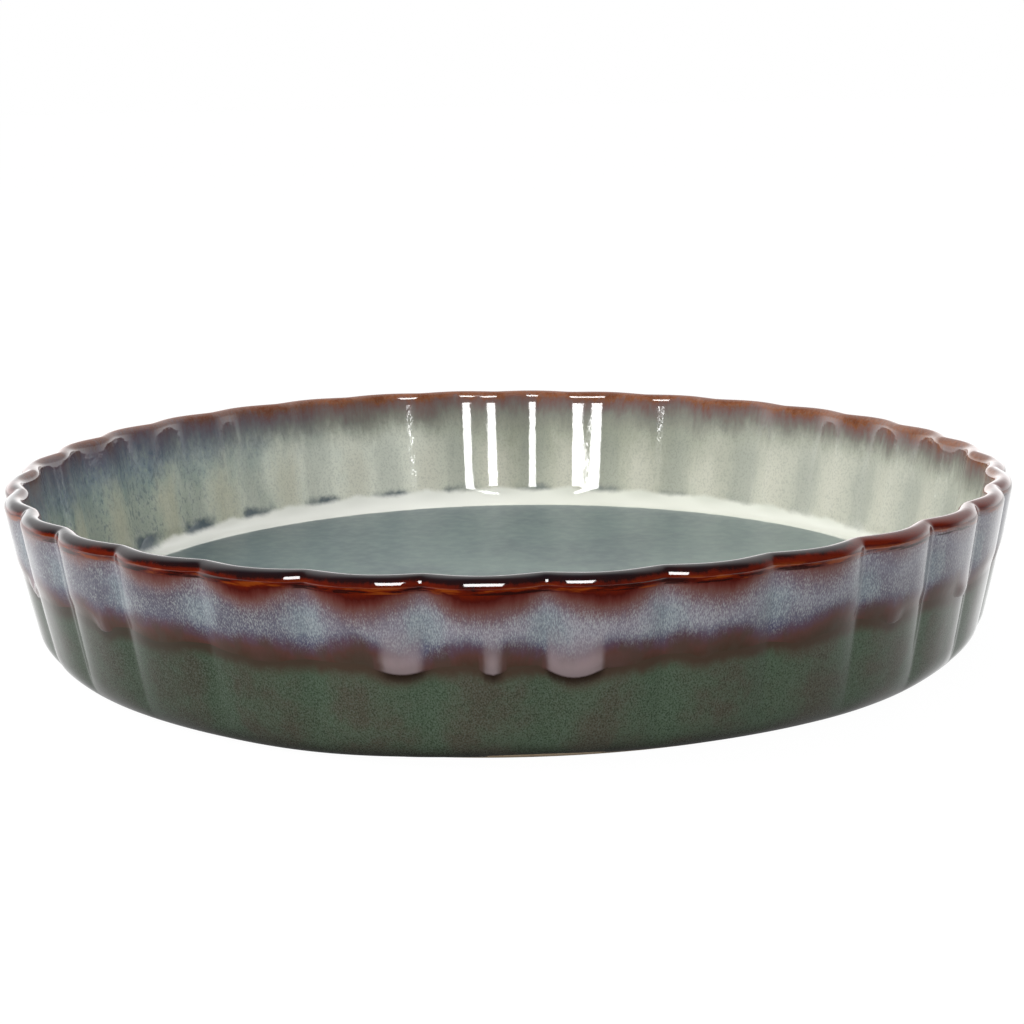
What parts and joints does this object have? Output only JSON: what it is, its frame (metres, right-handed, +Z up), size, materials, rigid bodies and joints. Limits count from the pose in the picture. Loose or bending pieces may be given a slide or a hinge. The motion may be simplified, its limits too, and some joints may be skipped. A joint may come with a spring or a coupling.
{
  "type": "fluted quiche dish",
  "caption": "Round shallow stoneware baking dish with a fluted, outward leaning wall, a rounded lip and a flat foot ring, under layered glossy glazes.",
  "frame": {"origin": "centre of the foot ring, on the plane that the dish stands on", "axes": "+Z up along the dish's axis, a flute's middle faces each of +X, -X, +Y and -Y, and -Y is the front in the picture"},
  "size_m": [0.28, 0.28, 0.0475],
  "materials": {
    "bare_stoneware": "unglazed, matt, fine sandy fired clay",
    "green_base_glaze": "glossy dark grey-green glaze with fine speckle",
    "lavender_flow_glaze": "glossy lavender-blue rutile glaze with fine streaks, run down in tongues",
    "brown_rim_glaze": "very glossy rust-brown to near-black glaze, amber where it is thin",
    "cream_lining_glaze": "glossy cream to celadon glaze, blue-grey where it is thick",
    "blue_green_pool_glaze": "glossy pooled blue-green glaze with cloudy mottling"
  },
  "bodies": {
    "root": {"stoneware_body": "bare_stoneware", "base_glaze": "green_base_glaze", "flow_glaze": "lavender_flow_glaze", "rim_glaze": "brown_rim_glaze", "lining_glaze": "cream_lining_glaze", "floor_pool_glaze": "blue_green_pool_glaze", "underside_glaze": "green_base_glaze"}
  },
  "joints": []
}
